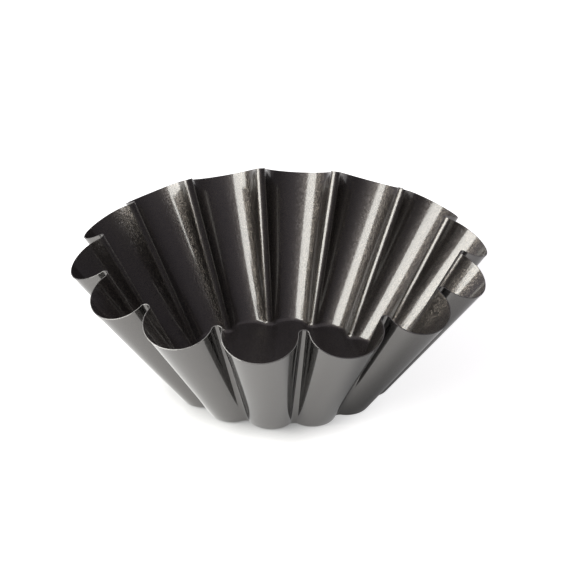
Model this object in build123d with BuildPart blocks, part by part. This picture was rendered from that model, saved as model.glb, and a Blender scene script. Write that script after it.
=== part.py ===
from build123d import *
from math import atan2, cos, degrees, hypot, pi, sin, sqrt
import os

# A fluted brioche mould: one round steel blank, coated on both faces, trimmed and pressed
# into a flared cup whose wall is a ring of round flutes joined by tight inward folds.
# Millimetres. The origin is the centre of the underside of the base, +Z runs up the axis
# and +X runs through the crest of one flute.

# The shape of the outer face. Base sizes are taken where the wall, without its bottom bend,
# would meet the table.
flute_count = 14
rim_diameter = 220.0        # over the flute crests, at the cut rim
base_diameter = 118.0       # over the flute crests, at the base
height = 78.3               # from the table to the rim at the folds, where it stands highest
rim_flute_depth = 15.7      # from the crests in to the folds, at the cut rim
base_flute_depth = 5.3      # the same, at the base
fold_bend_radius = 2.4      # bend radius of a fold, the same all the way up
base_inner_bend = 2.9       # bend radius between the floor and the wall, inside the mould

# The layers of the coated sheet, from the outside in
outer_coat_thickness = 0.07
steel_thickness = 0.4
inner_coat_thickness = 0.07

# How far the forming shapes run past the cut rim and below the table
overrun = 6.0

# How many level outlines each wall is drawn through, from the table up
wall_sections = 4

steel_depth = outer_coat_thickness
inner_coat_depth = steel_depth + steel_thickness
hollow_depth = inner_coat_depth + inner_coat_thickness
base_outer_bend = base_inner_bend + hollow_depth

rim_crest_radius = rim_diameter / 2
base_crest_radius = base_diameter / 2
rim_fold_radius = rim_crest_radius - rim_flute_depth
base_fold_radius = base_crest_radius - base_flute_depth
flute_half_angle = pi / flute_count

# The rim is the cut edge of the blank, so it lies at one slant length from the bottom bend.
# The crests lean out further than the folds, which leaves their rim lower.
slant_centre_radius = base_crest_radius - base_outer_bend
slant_length = hypot(height, rim_fold_radius - slant_centre_radius)
crest_height = sqrt(slant_length**2 - (rim_crest_radius - slant_centre_radius) ** 2)

crest_slope = (rim_crest_radius - base_crest_radius) / crest_height
fold_slope = (rim_fold_radius - base_fold_radius) / height


def wall_outline(level, depth):
    """Sketch the wall's closed outline at one level, at a depth below its outer face."""
    crest_radius = base_crest_radius + crest_slope * level - depth * hypot(1, crest_slope)
    fold_radius = base_fold_radius + fold_slope * level - depth * hypot(1, fold_slope)
    fold_bend = fold_bend_radius + depth

    # Each flute is the arc that passes through its crest and runs tangent into both folds
    fold_centre = fold_radius + fold_bend
    fold_along = fold_centre * cos(flute_half_angle)
    fold_across = fold_centre * sin(flute_half_angle)
    reach_squared = (crest_radius - fold_along) ** 2 + fold_across**2
    flute_bend = (reach_squared - fold_bend**2) / (2 * (fold_bend + crest_radius - fold_along))
    flute_centre = crest_radius - flute_bend
    flute_turn = degrees(atan2(fold_across, fold_along - flute_centre))
    flute_pitch = degrees(2 * flute_half_angle)
    fold_turn = flute_pitch - 2 * flute_turn

    with BuildSketch(Plane.XY.offset(level)) as outline:
        with BuildLine():
            for flute in range(flute_count):
                crest_angle = flute * flute_pitch
                crest_side = Vector(flute_centre, 0).rotate(Axis.Z, crest_angle)
                fold_side = Vector(fold_centre, 0).rotate(Axis.Z, crest_angle + flute_pitch / 2)
                CenterArc(crest_side, flute_bend, crest_angle - flute_turn, 2 * flute_turn)
                CenterArc(fold_side, fold_bend, crest_angle + flute_turn + 180, fold_turn)
        make_face()
    return outline.sketch


def filled_form(depth):
    """Make the solid that fills the mould up to a depth below its outer face."""
    with BuildPart() as form:
        for section in range(wall_sections):
            rise_share = section / (wall_sections - 1)
            add(wall_outline(depth + (height + overrun - depth) * rise_share, depth))
        loft()
        fillet(form.faces().sort_by(Axis.Z)[0].edges(), base_outer_bend - depth)
    return form.part


def trimming_form():
    """Make the round form whose curved side is the cut that trims the rim."""
    with BuildPart() as trim:
        with BuildSketch(Plane.XZ):
            with BuildLine():
                Polyline(
                    (slant_centre_radius, slant_length),
                    (0, slant_length),
                    (0, -overrun),
                    (slant_centre_radius + slant_length, -overrun),
                    (slant_centre_radius + slant_length, 0),
                )
                CenterArc((slant_centre_radius, 0), slant_length, 0, 90)
            make_face()
        revolve(axis=Axis.Z)
    return trim.part


outside_form = filled_form(0)
steel_form = filled_form(steel_depth)
inner_coat_form = filled_form(inner_coat_depth)
hollow_form = filled_form(hollow_depth)
rim_form = trimming_form()

# The coat on the outside of the sheet and under its base
with BuildPart() as outer_coat:
    add(outside_form)
    add(rim_form, mode=Mode.INTERSECT)
    add(steel_form, mode=Mode.SUBTRACT)

# The pressed sheet itself, bare only at the cut edge of the rim
with BuildPart() as steel_sheet:
    add(steel_form)
    add(rim_form, mode=Mode.INTERSECT)
    add(inner_coat_form, mode=Mode.SUBTRACT)

# The non-stick coat on the inside
with BuildPart() as inner_coat:
    add(inner_coat_form)
    add(rim_form, mode=Mode.INTERSECT)
    add(hollow_form, mode=Mode.SUBTRACT)

os.makedirs("parts", exist_ok=True)

outer_coat.part.label = "outer_coat"
export_step(outer_coat.part, "parts/outer_coat.step")

steel_sheet.part.label = "pressed_steel_sheet"
export_step(steel_sheet.part, "parts/pressed_steel_sheet.step")

inner_coat.part.label = "inner_nonstick_coat"
export_step(inner_coat.part, "parts/inner_nonstick_coat.step")
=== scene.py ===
from math import cos, hypot, pi, radians, sin, sqrt

import bpy
import numpy as np
from mathutils import Matrix, Vector


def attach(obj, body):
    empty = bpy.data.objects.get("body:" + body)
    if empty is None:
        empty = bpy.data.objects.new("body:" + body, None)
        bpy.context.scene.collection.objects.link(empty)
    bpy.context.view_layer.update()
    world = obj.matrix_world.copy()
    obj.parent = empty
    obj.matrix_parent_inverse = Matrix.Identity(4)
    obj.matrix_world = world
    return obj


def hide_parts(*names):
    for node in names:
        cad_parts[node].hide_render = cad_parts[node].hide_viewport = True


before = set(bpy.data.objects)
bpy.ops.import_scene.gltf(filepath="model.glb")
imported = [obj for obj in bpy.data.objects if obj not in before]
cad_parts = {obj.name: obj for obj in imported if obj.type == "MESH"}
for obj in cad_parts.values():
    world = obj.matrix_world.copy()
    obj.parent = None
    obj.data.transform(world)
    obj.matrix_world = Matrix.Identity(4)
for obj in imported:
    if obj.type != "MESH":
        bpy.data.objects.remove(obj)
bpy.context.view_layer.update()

# A fluted brioche mould, pressed from one coated steel sheet. The row frame is in metres:
# the origin is the centre of the underside of the base, +Z runs up the axis and +X runs
# through the crest of one flute. The sizes are the CAD's own.
MM = 0.001

flute_count = 14
rim_diameter = 220.0 * MM
base_diameter = 118.0 * MM
height = 78.3 * MM
rim_flute_depth = 15.7 * MM
base_flute_depth = 5.3 * MM
fold_bend_radius = 2.4 * MM
base_inner_bend = 2.9 * MM
outer_coat_thickness = 0.07 * MM
steel_thickness = 0.4 * MM
inner_coat_thickness = 0.07 * MM

sheet_thickness = outer_coat_thickness + steel_thickness + inner_coat_thickness
base_outer_bend = base_inner_bend + sheet_thickness

rim_crest_radius = rim_diameter / 2
base_crest_radius = base_diameter / 2
rim_fold_radius = rim_crest_radius - rim_flute_depth
base_fold_radius = base_crest_radius - base_flute_depth
flute_half_angle = pi / flute_count

# The rim lies at one slant length from a ring on the underside, near the start of the
# bottom bend, so it is lower at the crests of the flutes than at the folds
slant_centre_radius = base_crest_radius - base_outer_bend
slant_length = hypot(height, rim_fold_radius - slant_centre_radius)
crest_height = sqrt(slant_length**2 - (rim_crest_radius - slant_centre_radius) ** 2)
crest_slope = (rim_crest_radius - base_crest_radius) / crest_height
fold_slope = (rim_fold_radius - base_fold_radius) / height

# The cut edge is worn a little round
edge_rounding = 0.09 * MM

# How finely the sheet is divided; the floor's rings are shares of its edge
flute_steps = 44
fold_steps = 18
wall_steps = 12
bend_steps = 8
floor_shares = (0.985, 0.95, 0.86, 0.7, 0.5, 0.3, 0.12)

# How closely the rim and the top of the bottom bend are worked out
climb_nudge = 0.01 * MM
rim_search_shares = (0.5, 1.2)
rim_halvings = 40
foot_rounds = 12


def wall_columns():
    """The columns of points round the wall: their flute, and their place on its two arcs."""
    columns = []
    for flute in range(flute_count):
        columns += [(flute, 0, 2 * step / flute_steps - 1) for step in range(flute_steps)]
        columns += [(flute, 1, step / fold_steps) for step in range(fold_steps)]
    flute, on_fold, share = np.array(columns).T
    return flute * 2 * flute_half_angle, on_fold == 1, share


crest_angle, on_fold, arc_share = wall_columns()
column_count = len(crest_angle)


def wall_section(level, depth):
    """The wall's points at one level for each column, and which way the outline runs there."""
    crest_radius = base_crest_radius + crest_slope * level - depth * hypot(1, crest_slope)
    fold_radius = base_fold_radius + fold_slope * level - depth * hypot(1, fold_slope)
    fold_bend = fold_bend_radius + depth

    # Each flute is the arc that passes through its crest and runs tangent into both folds
    fold_centre = fold_radius + fold_bend
    fold_along = fold_centre * cos(flute_half_angle)
    fold_across = fold_centre * sin(flute_half_angle)
    reach_squared = (crest_radius - fold_along) ** 2 + fold_across**2
    flute_bend = (reach_squared - fold_bend**2) / (2 * (fold_bend + crest_radius - fold_along))
    flute_centre = crest_radius - flute_bend
    flute_turn = np.arctan2(fold_across, fold_along - flute_centre)
    fold_turn = 2 * flute_half_angle - 2 * flute_turn

    fold_angle = crest_angle + flute_half_angle
    middle = np.where(on_fold, fold_centre, flute_centre)
    middle_angle = np.where(on_fold, fold_angle, crest_angle)
    bend = np.where(on_fold, fold_bend, flute_bend)
    turn_on_fold = crest_angle + flute_turn + pi + arc_share * fold_turn
    turn = np.where(on_fold, turn_on_fold, crest_angle + arc_share * flute_turn)
    x = middle * np.cos(middle_angle) + bend * np.cos(turn)
    y = middle * np.sin(middle_angle) + bend * np.sin(turn)
    way = np.where(on_fold, -1, 1)
    along = np.c_[-way * np.sin(turn), way * np.cos(turn), 0 * turn]
    return np.c_[x, y, level + 0 * turn], along


class Skin:
    """One face of the sheet, at a depth below the mould's outer face."""

    def __init__(self, depth):
        self.depth = depth
        self.rim = self.find_rim()

    def place(self, level):
        """The wall's points at these levels."""
        return wall_section(level, self.depth)[0]

    def climb(self, level):
        """How the wall's points move for each metre of height."""
        rise = self.place(level + climb_nudge) - self.place(level - climb_nudge)
        return rise / (2 * climb_nudge)

    def outward(self, level):
        """Unit normals at these levels, pointing out of the mould."""
        normal = np.cross(wall_section(level, self.depth)[1], self.climb(level))
        return normal / np.linalg.norm(normal, axis=1)[:, None]

    def find_rim(self):
        """The levels at which the wall meets the round cut of the rim."""
        low_share, high_share = rim_search_shares
        below = np.full(column_count, height * low_share)
        above = np.full(column_count, height * high_share)
        for _ in range(rim_halvings):
            middle = (below + above) / 2
            point = self.place(middle)
            radius = np.hypot(point[:, 0], point[:, 1]) - slant_centre_radius
            inside = np.hypot(radius, middle) < slant_length
            below = np.where(inside, middle, below)
            above = np.where(inside, above, middle)
        return (below + above) / 2

    def rim_level(self, across):
        """The edge's levels, dropped by its rounding; across runs from -1 outside to 1 inside."""
        return self.rim - edge_rounding * across**2 / np.linalg.norm(self.climb(self.rim), axis=1)

    def rows(self, across):
        """Rows of points from the rim down, round the bottom bend and in to the centre."""
        bend = base_outer_bend - self.depth
        foot = np.full(column_count, self.depth)
        for _ in range(foot_rounds):
            foot = self.depth + bend * (1 + self.outward(foot)[:, 2])
        top = self.rim_level(across)
        rows = [self.place(top + (foot - top) * k / wall_steps) for k in range(wall_steps)]

        # The bottom bend swings each point from the wall's normal to straight down
        normal = self.outward(foot)
        centre = self.place(foot) - bend * normal
        swing = np.arccos(-normal[:, 2])[:, None]
        down = np.array([0.0, 0.0, -1.0])
        for k in range(bend_steps + 1):
            share = k / bend_steps
            to_wall, to_floor = np.sin((1 - share) * swing), np.sin(share * swing)
            rows.append(centre + bend * (to_wall * normal + to_floor * down) / np.sin(swing))
        edge = rows[-1]
        for share in floor_shares:
            rows.append(edge * np.array([share, share, 1.0]))
        return rows


def across_at(depth):
    """Where a depth lies across the sheet, from -1 at its outer face to 1 at its inner face."""
    return 2 * depth / sheet_thickness - 1


def chain_faces(row_count):
    """Faces from each row of a chain to the next, and from its two end rows to their centres."""
    here = np.arange(column_count)
    after = np.roll(here, -1)
    faces = []
    for row in range(row_count - 1):
        start, following = row * column_count, (row + 1) * column_count
        quads = np.c_[start + here, start + after, following + after, following + here]
        faces += quads.tolist()
    last = (row_count - 1) * column_count
    outer_centre = row_count * column_count
    inner_centre = outer_centre + 1
    faces += [(outer_centre, int(j), int(i)) for i, j in zip(here, after)]
    faces += [(inner_centre, int(last + i), int(last + j)) for i, j in zip(here, after)]
    return faces


def mark_sharp(mesh, sharp_rows):
    """Keep the edges that run along these rows of the chain crisp."""
    ends = np.zeros(len(mesh.edges) * 2, int)
    mesh.edges.foreach_get("vertices", ends)
    end_rows = ends.reshape(-1, 2) // column_count
    sharp = (end_rows[:, 0] == end_rows[:, 1]) & np.isin(end_rows[:, 0], sharp_rows)
    mesh.attributes.new("sharp_edge", "BOOLEAN", "EDGE").data.foreach_set("value", sharp)


def put_in_scene(name, data):
    """A new object in the scene."""
    thing = bpy.data.objects.new(name, data)
    bpy.context.scene.collection.objects.link(thing)
    return thing


def layer(name, outer_depth, inner_depth, edge_rows):
    """A closed layer of the sheet between two depths."""
    outer = Skin(outer_depth).rows(across_at(outer_depth))
    inner = Skin(inner_depth).rows(across_at(inner_depth))
    cut_edge = []
    for k in range(1, edge_rows):
        depth = outer_depth + (inner_depth - outer_depth) * k / edge_rows
        skin = Skin(depth)
        cut_edge.append(skin.place(skin.rim_level(across_at(depth))))

    # One chain of rows: from the outer centre, up the outside, over the rim, down the inside
    chain = outer[::-1] + cut_edge + inner
    centres = [(0.0, 0.0, outer_depth), (0.0, 0.0, inner_depth)]
    mesh = bpy.data.meshes.new(name)
    mesh.from_pydata(np.vstack(chain + [centres]).tolist(), [], chain_faces(len(chain)))
    mesh.polygons.foreach_set("use_smooth", [True] * len(mesh.polygons))
    outer_rim_row = len(outer) - 1
    mark_sharp(mesh, (outer_rim_row, outer_rim_row + edge_rows))
    mesh.update()
    return put_in_scene(name, mesh)


class Nodes:
    """A short way to write node trees."""

    def __init__(self, tree):
        self.tree = tree
        tree.nodes.clear()

    def add(self, kind, **values):
        """A new node with these properties."""
        node = self.tree.nodes.new(kind)
        for key, value in values.items():
            setattr(node, key, value)
        return node

    def join(self, source, target):
        """Link an output to a socket."""
        self.tree.links.new(source, target)

    def give(self, target, value):
        """Join another node's output to a socket, or set the socket to a value."""
        if hasattr(value, "links"):
            self.join(value, target)
        else:
            target.default_value = value

    def place(self):
        """The point that is shaded, in metres."""
        return self.add("ShaderNodeTexCoord").outputs["Object"]

    def noise(self, size, detail):
        """Noise whose features are about size metres wide."""
        node = self.add("ShaderNodeTexNoise")
        node.inputs["Scale"].default_value = 1 / size
        node.inputs["Detail"].default_value = detail
        self.join(self.place(), node.inputs["Vector"])
        return node.outputs["Fac"]

    def cells(self, size):
        """A random colour for each grain, about size metres wide."""
        node = self.add("ShaderNodeTexVoronoi")
        node.inputs["Scale"].default_value = 1 / size
        self.join(self.place(), node.inputs["Vector"])
        return node.outputs["Color"]

    def closed(self, reach):
        """How much of the space within reach above a point is closed in, from 0 to 1."""
        node = self.add("ShaderNodeAmbientOcclusion", samples=closed_samples)
        node.inputs["Distance"].default_value = reach
        return self.maths("SUBTRACT", 1.0, node.outputs["AO"])

    def ray(self, kind):
        """1 for rays of this kind, 0 for the rest."""
        return self.add("ShaderNodeLightPath").outputs[f"Is {kind} Ray"]

    def maths(self, kind, a, b):
        """One step of arithmetic on two numbers."""
        node = self.add("ShaderNodeMath", operation=kind)
        self.give(node.inputs[0], a)
        self.give(node.inputs[1], b)
        return node.outputs[0]

    def vector(self, kind, a, b=(0.0, 0.0, 0.0)):
        """One step of arithmetic on vectors; some kinds use only the first."""
        node = self.add("ShaderNodeVectorMath", operation=kind)
        self.give(node.inputs[0], a)
        self.give(node.inputs[1], b)
        return node.outputs["Value" if kind == "DOT_PRODUCT" else "Vector"]

    def scaled(self, vector, factor):
        """A vector times a number."""
        node = self.add("ShaderNodeVectorMath", operation="SCALE")
        self.give(node.inputs[0], vector)
        self.give(node.inputs["Scale"], factor)
        return node.outputs["Vector"]

    def span(self, value, low, high, to_low=0.0, to_high=1.0, smooth=False):
        """Value between low and high, spread over to_low to to_high."""
        node = self.add("ShaderNodeMapRange")
        if smooth:
            node.interpolation_type = "SMOOTHSTEP"
        for socket, part in zip(node.inputs, (value, low, high, to_low, to_high)):
            self.give(socket, part)
        return node.outputs[0]

    def mix(self, share, a, b):
        """Colour a where share is 0, turning to colour b where it is 1."""
        node = self.add("ShaderNodeMix", data_type="RGBA")
        self.give(node.inputs["Factor"], share)
        self.give(node.inputs["A"], (*a, 1.0))
        self.give(node.inputs["B"], (*b, 1.0))
        return node.outputs["Result"]

    def bump(self, heights, distance, strength):
        """A normal that follows small heights."""
        node = self.add("ShaderNodeBump")
        node.inputs["Strength"].default_value = strength
        node.inputs["Distance"].default_value = distance
        self.join(heights, node.inputs["Height"])
        return node.outputs["Normal"]


def new_material(name):
    """A material and its empty node tree."""
    material = bpy.data.materials.new(name)
    material.use_nodes = True
    return material, Nodes(material.node_tree)


def finish_coat(nodes, **values):
    """Put the values on a Principled shader and join it to the output."""
    shader = nodes.add("ShaderNodeBsdfPrincipled")
    for key, value in values.items():
        nodes.give(shader.inputs[key.replace("_", " ")], value)
    output = nodes.add("ShaderNodeOutputMaterial")
    nodes.join(shader.outputs["BSDF"], output.inputs["Surface"])


# Noise mostly lies between these values, and a cell's random colour averages cell_mean
noise_range = (0.3, 0.7)
cell_mean = (0.5, 0.5, 0.5)

# The non-stick coat's flakes: a higher contrast leaves fewer of them bright
flake_size = 0.3 * MM
flake_tilt = 0.4
flake_contrast = 1.3
flake_dark = (0.042, 0.039, 0.040)
flake_bright = (0.122, 0.108, 0.093)
flake_patch_size = 14 * MM
flake_patch_range = (0.9, 1.1)


def nonstick_material():
    """Dark non-stick coat: fine warm metal flakes under a satin gloss."""
    material, nodes = new_material("inner_nonstick_coat")
    grain = nodes.cells(flake_size)
    parts = nodes.add("ShaderNodeSeparateColor")
    nodes.join(grain, parts.inputs[0])
    flake = nodes.maths("POWER", parts.outputs[0], flake_contrast)
    patches = nodes.noise(flake_patch_size, detail=3.0)
    patches = nodes.span(patches, *noise_range, *flake_patch_range)
    flake = nodes.maths("MULTIPLY", flake, patches)
    # Each flake lies at its own small tilt under the smooth top
    tilt = nodes.scaled(nodes.vector("SUBTRACT", grain, cell_mean), flake_tilt)
    geometry = nodes.add("ShaderNodeNewGeometry").outputs["Normal"]
    finish_coat(
        nodes,
        Base_Color=nodes.mix(flake, flake_dark, flake_bright),
        Metallic=1.0,
        Roughness=0.4,
        Normal=nodes.vector("NORMALIZE", nodes.vector("ADD", geometry, tilt)),
        Coat_Weight=1.0,
        Coat_Roughness=0.13,
        Coat_IOR=1.62,
    )
    return material


# The outer coat's grain, and the wider patches in which its gloss changes
satin_grain_size = 0.5 * MM
satin_grain_height = 0.004 * MM
satin_dark = (0.112, 0.109, 0.106)
satin_light = (0.128, 0.124, 0.121)
satin_patch_size = 18 * MM
satin_roughness = (0.09, 0.12)


def outer_material():
    """Satin warm grey coat with a very fine even grain."""
    material, nodes = new_material("outer_coat")
    grain = nodes.noise(satin_grain_size, detail=2.0)
    patches = nodes.noise(satin_patch_size, detail=3.0)
    finish_coat(
        nodes,
        Base_Color=nodes.mix(nodes.span(grain, *noise_range), satin_dark, satin_light),
        Metallic=0.92,
        Roughness=nodes.span(patches, *noise_range, *satin_roughness),
        IOR=1.5,
        Specular_Tint=(0.78, 0.78, 0.78, 1.0),
        Normal=nodes.bump(grain, satin_grain_height, strength=0.5),
    )
    return material


# The cut edge's grain: brighter grains are rougher
edge_grain_size = 0.3 * MM
edge_dark = (0.15, 0.147, 0.144)
edge_light = (0.23, 0.226, 0.222)
edge_roughness = (0.45, 0.6)


def steel_material():
    """Bare sheared edge of the steel sheet."""
    material, nodes = new_material("bare_steel")
    grain = nodes.span(nodes.noise(edge_grain_size, detail=3.0), *noise_range)
    finish_coat(
        nodes,
        Base_Color=nodes.mix(grain, edge_dark, edge_light),
        Metallic=1.0,
        Roughness=nodes.span(grain, 0.0, 1.0, *edge_roughness),
    )
    return material


# The three layers from the outside in, with the rows of faces across each one's cut edge
depth = 0.0
for name, slot, material, thickness, edge_rows in (
    ("outer_coat", "outer_coat", outer_material(), outer_coat_thickness, 1),
    ("pressed_steel_sheet", "bare_steel", steel_material(), steel_thickness, 4),
    ("inner_nonstick_coat", "inner_nonstick_coat", nonstick_material(), inner_coat_thickness, 1),
):
    piece = layer(name + "_skin", depth, depth + thickness, edge_rows)
    depth += thickness
    piece.data.materials.append(material)
    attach(piece, "root")
    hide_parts(name)


# The camera looks down on the mould from the front and a little to the left, so that it
# faces neither a crest nor a fold squarely. It stands camera_distance from a point
# camera_rise above the table, and three small turns, in radians, aim it.
camera_distance = 1182.7 * MM
camera_tilt = 0.5035
camera_rise = 30.25 * MM
camera_swing = radians(6.79)
camera_turn = -pi / 2 - camera_swing
view_yaw = -0.004185
view_pitch = 0.01527
view_roll = 0.0026
sensor_width = 36.0
lens = 137.62


def turned(vectors, axis, angle):
    """The vectors, turned about an axis."""
    spin = Matrix.Rotation(angle, 3, axis)
    return [spin @ vector for vector in vectors]


def make_camera():
    along = Vector((0, cos(camera_tilt), -sin(camera_tilt)))
    up = Vector((0, sin(camera_tilt), cos(camera_tilt)))
    right = Vector((1, 0, 0))
    right, along = turned((right, along), up, view_yaw)
    along, up = turned((along, up), right, view_pitch)
    right, up = turned((right, up), along, view_roll)
    axes = Matrix((right, up, -along)).transposed().to_4x4()
    back = camera_distance * cos(camera_tilt)
    rise = camera_distance * sin(camera_tilt) + camera_rise
    camera_data = bpy.data.cameras.new("camera")
    camera_data.sensor_width = sensor_width
    camera_data.lens = lens
    camera = put_in_scene("camera", camera_data)
    place = Matrix.Translation((0, -back, rise))
    camera.matrix_world = Matrix.Rotation(-camera_swing, 4, "Z") @ place @ axes
    bpy.context.scene.camera = camera


make_camera()
bpy.context.scene.view_settings.view_transform = "Standard"


def heading(azimuth):
    """The level direction at an azimuth in degrees; 0 is towards the camera, left is negative."""
    turn = camera_turn + radians(azimuth)
    return Vector((cos(turn), sin(turn), 0))


# One soft light panel stands on the table to the left of the mould and reaches forward of it
panel_width = 570.0 * MM
panel_height = 600.0 * MM
panel_away = 540.0 * MM
panel_azimuth = -55
panel_facing = -80
panel_lean = radians(11)
panel_radiance = 8.5
panel_colour = (1.0, 1.0, 0.955)


def light_panel():
    light = bpy.data.lights.new("panel", "AREA")
    light.shape = "RECTANGLE"
    light.size = panel_width
    light.size_y = panel_height
    light.energy = panel_radiance * pi * light.size * light.size_y
    light.color = panel_colour
    lamp = put_in_scene("panel", light)
    lamp.location = heading(panel_azimuth) * panel_away + Vector((0, 0, panel_height / 2))
    away = heading(panel_facing) * cos(panel_lean) + Vector((0, 0, sin(panel_lean)))
    lamp.rotation_euler = away.to_track_quat("Z", "Y").to_euler()


light_panel()

# The table runs on white behind the mould. Its glow is as strong in the metal as it is to
# the camera, and its shade round the foot is set for each apart.
floor_reach = 12.0
floor_paint = 0.92
floor_glow = 0.82
closed_samples = 8
contact_reach = 26 * MM
# How deep the contact shade is to the camera on the left of the mould, fading out
# rightwards between these distances
contact_seen = 0.78
contact_fade = (0 * MM, 60 * MM)
# The metal shows the table shaded under the flutes, the more so away from the panel
under_reach = 80 * MM
under_lit = 0.22
under_shaded = 1.0
under_fade = (-25 * MM, 20 * MM)


def floor_shade(nodes):
    """How much of the table's white is left at a point, from 0 to 1."""
    across = nodes.vector("DOT_PRODUCT", nodes.place(), heading(90))
    seen = nodes.span(across, *contact_fade, contact_seen, 0.0, smooth=True)
    contact = nodes.maths("MULTIPLY", nodes.closed(contact_reach), seen)
    away = nodes.vector("DOT_PRODUCT", nodes.place(), heading(panel_azimuth + 180))
    deep = nodes.span(away, *under_fade, under_lit, under_shaded, smooth=True)
    under = nodes.maths("MULTIPLY", nodes.closed(under_reach), deep)
    dark = nodes.span(nodes.ray("Camera"), 0.0, 1.0, under, contact)
    return nodes.maths("SUBTRACT", 1.0, dark)


def floor_material():
    """White paint, with a glow for the camera, gloss and glass alone."""
    material, nodes = new_material("floor")
    shade = floor_shade(nodes)
    glows = nodes.maths("MAXIMUM", nodes.ray("Camera"), nodes.ray("Glossy"))
    glows = nodes.maths("MAXIMUM", glows, nodes.ray("Transmission"))
    glow = nodes.maths("MULTIPLY", glows, nodes.maths("MULTIPLY", shade, floor_glow))
    diffuse = nodes.add("ShaderNodeBsdfDiffuse")
    nodes.join(nodes.maths("MULTIPLY", shade, floor_paint), diffuse.inputs["Color"])
    emission = nodes.add("ShaderNodeEmission")
    nodes.join(glow, emission.inputs["Strength"])
    both = nodes.add("ShaderNodeAddShader")
    nodes.join(diffuse.outputs[0], both.inputs[0])
    nodes.join(emission.outputs[0], both.inputs[1])
    output = nodes.add("ShaderNodeOutputMaterial")
    nodes.join(both.outputs[0], output.inputs["Surface"])
    return material


def make_floor():
    mesh = bpy.data.meshes.new("floor")
    corners = [(-1, -1), (1, -1), (1, 1), (-1, 1)]
    points = [(floor_reach * x, floor_reach * y, 0.0) for x, y in corners]
    mesh.from_pydata(points, [], [(0, 1, 2, 3)])
    floor = put_in_scene("floor", mesh)
    floor.data.materials.append(floor_material())


make_floor()

# The room is dim in front and lighter overhead, with a pale backdrop behind the mould.
# The backdrop's spread is the cosines of the angles from its middle at which it starts
# and is full.
room_tint = (0.98, 0.91, 1.0)
room_front = 0.14
room_overhead = 0.34
overhead_from = sin(radians(25))
overhead_full = sin(radians(60))
backdrop_level = 0.42
backdrop_azimuth = -162
backdrop_spread = (0.15, 0.55)
backdrop_top = sin(radians(50))
backdrop_top_fade = sin(radians(25))


def make_room():
    world = bpy.data.worlds.new("room")
    world.use_nodes = True
    bpy.context.scene.world = world
    nodes = Nodes(world.node_tree)
    ray = nodes.add("ShaderNodeTexCoord").outputs["Generated"]
    split = nodes.add("ShaderNodeSeparateXYZ")
    nodes.join(ray, split.inputs[0])
    rise = split.outputs["Z"]
    level = nodes.span(rise, overhead_from, overhead_full, room_front, room_overhead, smooth=True)
    behind = nodes.vector("DOT_PRODUCT", ray, heading(backdrop_azimuth))
    wide = nodes.span(behind, *backdrop_spread, smooth=True)
    tall = nodes.span(rise, backdrop_top_fade, backdrop_top, 1.0, 0.0, smooth=True)
    backdrop = nodes.maths("MULTIPLY", nodes.maths("MULTIPLY", wide, tall), backdrop_level)
    level = nodes.maths("MAXIMUM", level, backdrop)
    background = nodes.add("ShaderNodeBackground")
    background.inputs["Color"].default_value = (*room_tint, 1.0)
    nodes.join(level, background.inputs["Strength"])
    output = nodes.add("ShaderNodeOutputWorld")
    nodes.join(background.outputs[0], output.inputs["Surface"])


make_room()
